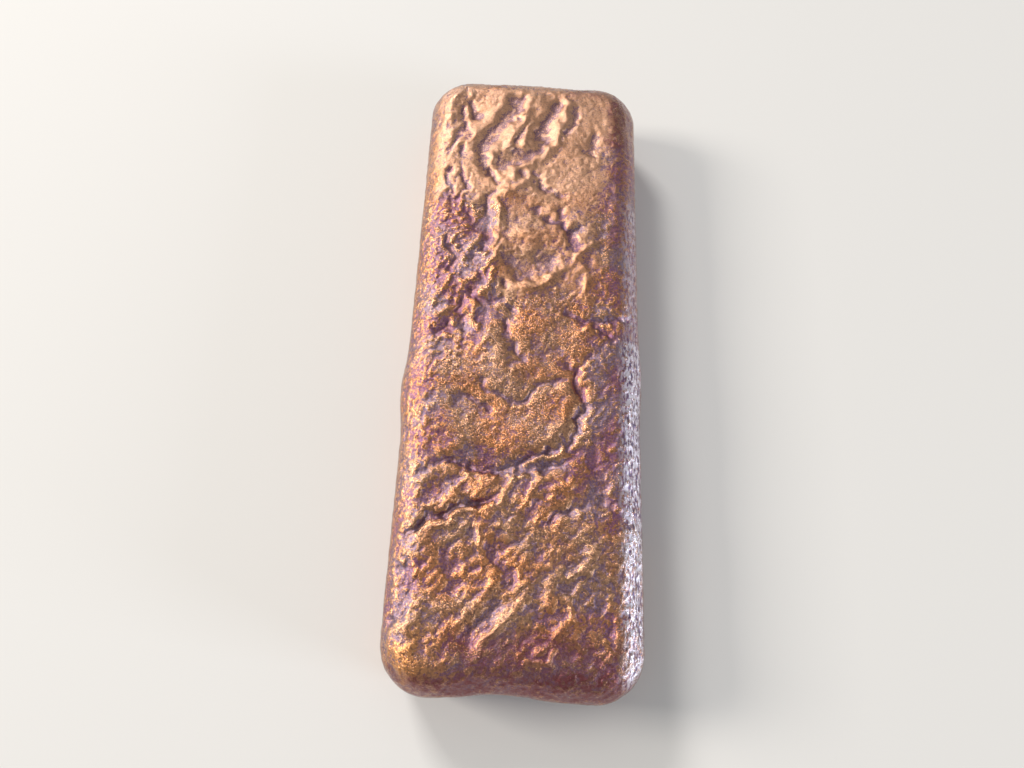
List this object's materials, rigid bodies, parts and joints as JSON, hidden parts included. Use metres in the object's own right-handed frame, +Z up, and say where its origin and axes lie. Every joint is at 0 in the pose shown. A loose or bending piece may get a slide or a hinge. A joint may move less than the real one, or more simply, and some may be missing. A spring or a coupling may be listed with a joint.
{
  "type": "copper ingot",
  "caption": "Small hand-poured copper bar with mould-drafted sides, rounded rim and a folded pour surface.",
  "frame": {"origin": "middle of the flat underside", "axes": "+Y along the bar, +Z up out of the pour surface, +X across the bar to the right"},
  "size_m": [0.0348, 0.096, 0.0122],
  "materials": {
    "copper": "as-cast copper, orange-brown on the folds, violet and grey-blue heat oxide in the valleys, satin"
  },
  "bodies": {
    "root": {"ingot": "copper"}
  },
  "joints": []
}
